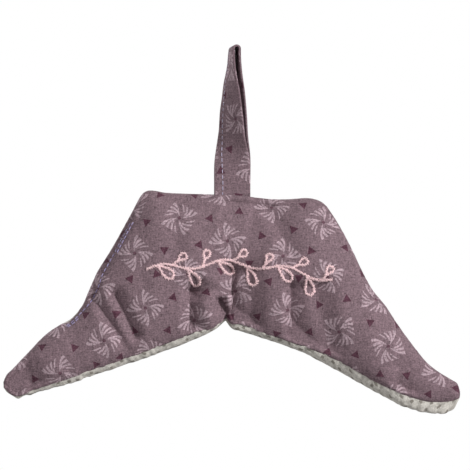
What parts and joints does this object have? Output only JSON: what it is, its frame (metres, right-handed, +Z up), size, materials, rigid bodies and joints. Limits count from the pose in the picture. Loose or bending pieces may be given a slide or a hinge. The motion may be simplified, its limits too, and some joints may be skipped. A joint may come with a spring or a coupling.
{
  "type": "herb sachet",
  "caption": "Padded cotton herb sachet in the outline of a clothes hanger, with a sewn-in tape loop that hangs on a pin, hook or hanger.",
  "frame": {"origin": "the point inside the loop's eye that hangs on a pin or hook", "axes": "+Z up, -Y out of the printed front, +Y toward the wall, +X to the right of someone who looks at the front"},
  "size_m": [0.2, 0.0246, 0.1631],
  "materials": {
    "print_cotton": "matt woven cotton with a small pale and plum print",
    "pale_cotton": "matt woven cotton, grey-green with small dark specks",
    "dried_herb": "loose dried herb",
    "mauve_thread": "matt sewing thread",
    "lavender_thread": "sewing thread with a slight sheen",
    "violet_thread": "sewing thread with a slight sheen",
    "pink_satin": "satin stitch in shiny embroidery thread",
    "nonwoven": "matt nonwoven"
  },
  "bodies": {
    "loop": {"hanging_loop": "print_cotton", "loop_topstitch": "lavender_thread"},
    "sachet": {"front_panel": "print_cotton", "back_panel": "pale_cotton", "herb_filling": "dried_herb", "perimeter_seam_thread": "mauve_thread", "closing_topstitch": "violet_thread", "closing_bobbin_thread": "violet_thread", "loop_end_front": "print_cotton", "loop_end_back": "print_cotton", "embroidery": "pink_satin", "embroidery_backing": "nonwoven"}
  },
  "joints": [
    {"name": "loop_bend", "type": "hinge", "parent": "loop", "child": "sachet", "pos_m": [-0.0011, 0, -0.0595], "axis": [1, 0, 0], "range_deg": [-105, 105]}
  ]
}
